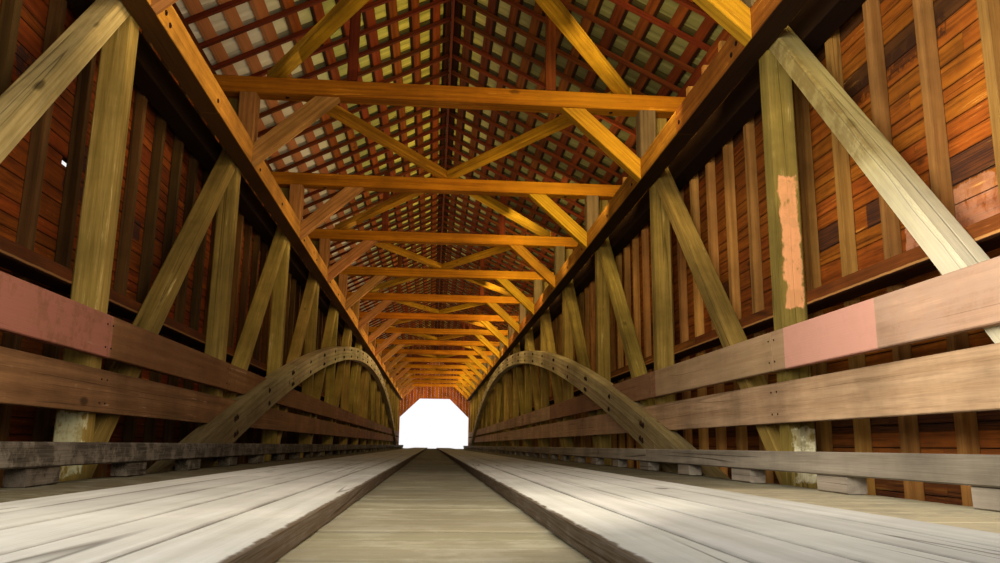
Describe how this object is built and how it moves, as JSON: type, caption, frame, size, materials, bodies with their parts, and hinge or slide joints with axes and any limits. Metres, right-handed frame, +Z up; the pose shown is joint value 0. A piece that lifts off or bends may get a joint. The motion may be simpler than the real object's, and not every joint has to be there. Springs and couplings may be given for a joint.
{
  "type": "1:2 scale model of a covered timber bridge with arched trusses",
  "caption": "1:2 scale model of a covered timber road bridge: kingpost trusses with laminated arches, plank floor, board walls and a gable roof on stone abutments.",
  "frame": {"origin": "at midspan on the roadway centreline, at ground level under the abutments", "axes": "+X to the right across the roadway seen from the near end, +Y along the bridge to the far end, +Z up"},
  "size_m": [3.4896, 28.32, 4.9551],
  "materials": {
    "stone_blocks": "rough squared stone",
    "truss_timber": "weathered sawn timber",
    "tie_timber": "golden brown sawn timber",
    "arch_timber": "weathered grey-beige laminated timber",
    "roof_timber": "red-brown sawn boards",
    "wall_boards": "rough red-brown boards",
    "rail_planks": "rubbed tan planks with worn paint",
    "deck_planks": "dusty worn planks",
    "runner_planks": "pale grey planks worn by wheels",
    "roof_sheet": "pale ribbed sheet"
  },
  "bodies": {
    "root": {"bed_timbers": "truss_timber", "curb_blocks": "deck_planks", "curbs": "deck_planks", "deck": "deck_planks", "eave_plates": "roof_timber", "far_abutment": "stone_blocks", "far_portal": "wall_boards", "floor_beams": "truss_timber", "head_blocks": "tie_timber", "lateral_braces": "tie_timber", "left_arch": "arch_timber", "left_bottom_chord": "truss_timber", "left_braces": "truss_timber", "left_knee_braces": "tie_timber", "left_posts": "truss_timber", "left_rafters": "roof_timber", "left_rails": "rail_planks", "left_roof": "roof_sheet", "left_roof_strips": "roof_timber", "left_siding": "wall_boards", "left_studs": "wall_boards", "left_top_chord": "tie_timber", "near_abutment": "stone_blocks", "near_portal": "wall_boards", "queen_struts": "roof_timber", "ridge_board": "roof_timber", "ridge_cap": "roof_sheet", "right_arch": "arch_timber", "right_bottom_chord": "truss_timber", "right_braces": "truss_timber", "right_knee_braces": "tie_timber", "right_posts": "truss_timber", "right_rafters": "roof_timber", "right_rails": "rail_planks", "right_roof": "roof_sheet", "right_roof_strips": "roof_timber", "right_siding": "wall_boards", "right_studs": "wall_boards", "right_top_chord": "tie_timber", "runners": "runner_planks", "stringers": "truss_timber", "tie_beams": "tie_timber", "wall_girts": "wall_boards"}
  },
  "joints": []
}
